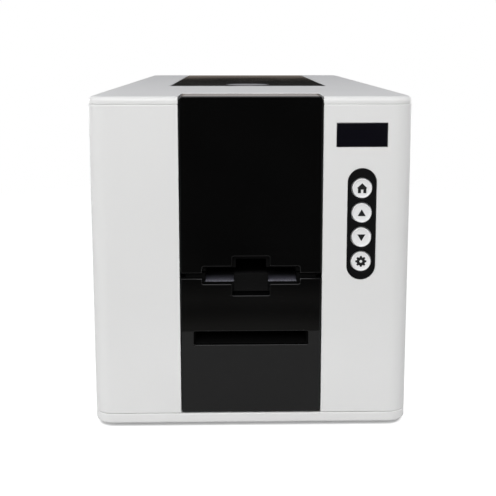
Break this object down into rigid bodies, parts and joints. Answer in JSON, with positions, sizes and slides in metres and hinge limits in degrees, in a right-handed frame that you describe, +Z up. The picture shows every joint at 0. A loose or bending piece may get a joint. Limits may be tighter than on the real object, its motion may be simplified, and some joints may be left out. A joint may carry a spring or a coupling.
{
  "type": "id card printer",
  "caption": "Desktop identity card printer: white case, black centre strip with a lift-up hopper door, card outlet, display, round keys and a rear-hinged ribbon lid.",
  "frame": {"origin": "middle of the footprint, at the underside of the rubber feet", "axes": "+Z up; -Y out of the front face, where the cards go in and come out; +X to the right as seen from the front"},
  "size_m": [0.2, 0.384, 0.211],
  "materials": {
    "white_abs": "fine moulded grain, satin",
    "gloss_black": "polished",
    "dark_abs": "moulded, satin",
    "foot_rubber": "matt",
    "roller_rubber": "ground, matt",
    "key_cap": "satin with bright rim",
    "silver_plastic": "silver paint, satin",
    "screen": "polished, tinted",
    "board": "solder mask",
    "zinc_steel": "zinc plated sheet",
    "bright_steel": "turned",
    "head_aluminium": "extruded",
    "bronze": "sintered",
    "motor_can": "plated",
    "blue_acetal": "moulded",
    "cassette_plastic": "moulded",
    "spool": "wound film",
    "ribbon": "film",
    "ivory_acetal": "moulded",
    "socket_metal": "tinned"
  },
  "bodies": {
    "case": {"base_tray": "white_abs", "rubber_feet": "foot_rubber", "left_cover": "white_abs", "right_cover": "white_abs", "rear_cover": "white_abs", "top_cover": "white_abs", "front_frame": "dark_abs", "lower_fascia": "gloss_black", "card_throat": "dark_abs", "card_hopper": "dark_abs", "outlet_chute": "dark_abs", "bay_liner": "dark_abs", "lid_brackets": "zinc_steel", "button_plate": "gloss_black", "display_window": "screen", "front_board": "board", "left_frame": "zinc_steel", "right_frame": "zinc_steel", "frame_ties": "bright_steel", "shaft_bushes": "bronze", "feed_motor": "motor_can", "drive_belts": "foot_rubber", "ribbon_cassette": "cassette_plastic", "ribbon_film": "ribbon", "ribbon_motor": "motor_can", "main_board": "board", "rear_sockets": "socket_metal", "switch_housing": "dark_abs", "fan_frame": "dark_abs", "case_screws": "zinc_steel"},
    "hopper_door": {"hopper_door": "gloss_black", "door_liner": "dark_abs", "door_hinge_pins": "bright_steel"},
    "lid": {"lid": "gloss_black", "lid_hinge_pins": "bright_steel", "latch_pin": "bright_steel", "head_arm": "zinc_steel", "head_pin": "bright_steel"},
    "lid_button": {"lid_button": "silver_plastic"},
    "lid_latch": {"lid_latch": "dark_abs"},
    "printhead": {"printhead": "head_aluminium"},
    "button_home": {"button_home": "key_cap"},
    "button_up": {"button_up": "key_cap"},
    "button_down": {"button_down": "key_cap"},
    "button_settings": {"button_settings": "key_cap"},
    "switch_rocker": {"switch_rocker": "dark_abs"},
    "fan_impeller": {"fan_impeller": "dark_abs"},
    "platen_roller": {"platen_roller": "roller_rubber"},
    "exit_roller": {"exit_roller": "roller_rubber"},
    "entry_roller": {"entry_roller": "roller_rubber"},
    "pick_roller": {"pick_roller": "roller_rubber"},
    "motor_pulley": {"motor_pulley": "motor_can"},
    "entry_pinch": {"entry_pinch": "roller_rubber"},
    "exit_pinch": {"exit_pinch": "roller_rubber"},
    "takeup_spool": {"takeup_spool": "spool"},
    "supply_spool": {"supply_spool": "spool"},
    "ribbon_pinion": {"ribbon_pinion": "ivory_acetal"},
    "card_gate": {"card_gate": "blue_acetal"},
    "diverter_ramp": {"diverter_ramp": "dark_abs"}
  },
  "joints": [
    {"name": "hopper_door_hinge", "type": "hinge", "parent": "case", "child": "hopper_door", "pos_m": [0, -0.1635, 0.2055], "axis": [-1, 0, 0], "range_deg": [0, 90]},
    {"name": "lid_hinge", "type": "hinge", "parent": "case", "child": "lid", "pos_m": [0, 0.1865, 0.2055], "axis": [-1, 0, 0], "range_deg": [0, 85]},
    {"name": "lid_button_press", "type": "slide", "parent": "lid", "child": "lid_button", "axis": [0, 0, -1], "range_m": [0, 0.0016], "stiffness_N_per_m": 400, "springref_m": -0.0005},
    {"name": "lid_latch_pivot", "type": "hinge", "parent": "lid", "child": "lid_latch", "pos_m": [0, -0.008, 0.1995], "axis": [1, 0, 0], "range_deg": [0, 4]},
    {"name": "printhead_tilt", "type": "hinge", "parent": "lid", "child": "printhead", "pos_m": [0, 0.031, 0.117], "axis": [-1, 0, 0], "range_deg": [0, 3], "stiffness_Nm_per_rad": 0.6, "springref_deg": -5.73},
    {"name": "button_home_press", "type": "slide", "parent": "case", "child": "button_home", "axis": [0, 1, 0], "range_m": [0, 0.0008], "stiffness_N_per_m": 400, "springref_m": -0.0005},
    {"name": "button_up_press", "type": "slide", "parent": "case", "child": "button_up", "axis": [0, 1, 0], "range_m": [0, 0.0008], "stiffness_N_per_m": 400, "springref_m": -0.0005},
    {"name": "button_down_press", "type": "slide", "parent": "case", "child": "button_down", "axis": [0, 1, 0], "range_m": [0, 0.0008], "stiffness_N_per_m": 400, "springref_m": -0.0005},
    {"name": "button_settings_press", "type": "slide", "parent": "case", "child": "button_settings", "axis": [0, 1, 0], "range_m": [0, 0.0008], "stiffness_N_per_m": 400, "springref_m": -0.0005},
    {"name": "switch_rocker_pivot", "type": "hinge", "parent": "case", "child": "switch_rocker", "pos_m": [0.062, 0.187, 0.034], "axis": [0, 0, 1], "range_deg": [0, 22]},
    {"name": "fan_spin", "type": "hinge", "parent": "case", "child": "fan_impeller", "pos_m": [0.052, 0.185, 0.128], "axis": [0, 1, 0], "continuous": true},
    {"name": "platen_spin", "type": "hinge", "parent": "case", "child": "platen_roller", "pos_m": [0, 0.02, 0.09], "axis": [1, 0, 0], "continuous": true},
    {"name": "exit_spin", "type": "hinge", "parent": "case", "child": "exit_roller", "pos_m": [0, 0.084, 0.09], "axis": [1, 0, 0], "continuous": true},
    {"name": "entry_spin", "type": "hinge", "parent": "case", "child": "entry_roller", "pos_m": [0, -0.088, 0.09], "axis": [1, 0, 0], "continuous": true},
    {"name": "pick_spin", "type": "hinge", "parent": "case", "child": "pick_roller", "pos_m": [0, -0.13, 0.0912], "axis": [1, 0, 0], "continuous": true},
    {"name": "motor_spin", "type": "hinge", "parent": "case", "child": "motor_pulley", "pos_m": [0, 0.06, 0.05], "axis": [1, 0, 0], "continuous": true},
    {"name": "entry_pinch_spin", "type": "hinge", "parent": "case", "child": "entry_pinch", "pos_m": [0, -0.088, 0.1049], "axis": [1, 0, 0], "continuous": true},
    {"name": "exit_pinch_spin", "type": "hinge", "parent": "case", "child": "exit_pinch", "pos_m": [0, 0.084, 0.1049], "axis": [1, 0, 0], "continuous": true},
    {"name": "takeup_spin", "type": "hinge", "parent": "case", "child": "takeup_spool", "pos_m": [0, -0.032, 0.14], "axis": [1, 0, 0], "continuous": true},
    {"name": "supply_spin", "type": "hinge", "parent": "case", "child": "supply_spool", "pos_m": [0, 0.075, 0.14], "axis": [1, 0, 0], "continuous": true},
    {"name": "ribbon_pinion_spin", "type": "hinge", "parent": "case", "child": "ribbon_pinion", "pos_m": [0, -0.0176, 0.1208], "axis": [1, 0, 0], "continuous": true},
    {"name": "card_gate_lift", "type": "slide", "parent": "case", "child": "card_gate", "axis": [0, 0, 1], "range_m": [-0.0004, 0.0015]},
    {"name": "diverter_tip", "type": "hinge", "parent": "case", "child": "diverter_ramp", "pos_m": [0, 0.004, 0.0932], "axis": [1, 0, 0], "range_deg": [0, 12], "stiffness_Nm_per_rad": 0.05, "springref_deg": -17.19}
  ],
  "couplings": [
    {"joint": "lid_latch_pivot", "follows": "lid_button_press", "rad_per_m": 41.667},
    {"joint": "exit_spin", "follows": "platen_spin", "ratio": 1},
    {"joint": "entry_spin", "follows": "platen_spin", "ratio": 1},
    {"joint": "pick_spin", "follows": "platen_spin", "ratio": 1},
    {"joint": "motor_spin", "follows": "platen_spin", "ratio": 1.6},
    {"joint": "entry_pinch_spin", "follows": "platen_spin", "ratio": -1.3333},
    {"joint": "exit_pinch_spin", "follows": "platen_spin", "ratio": -1.3333},
    {"joint": "takeup_spin", "follows": "supply_spin", "ratio": 1.7273},
    {"joint": "ribbon_pinion_spin", "follows": "supply_spin", "ratio": -5.1818}
  ]
}
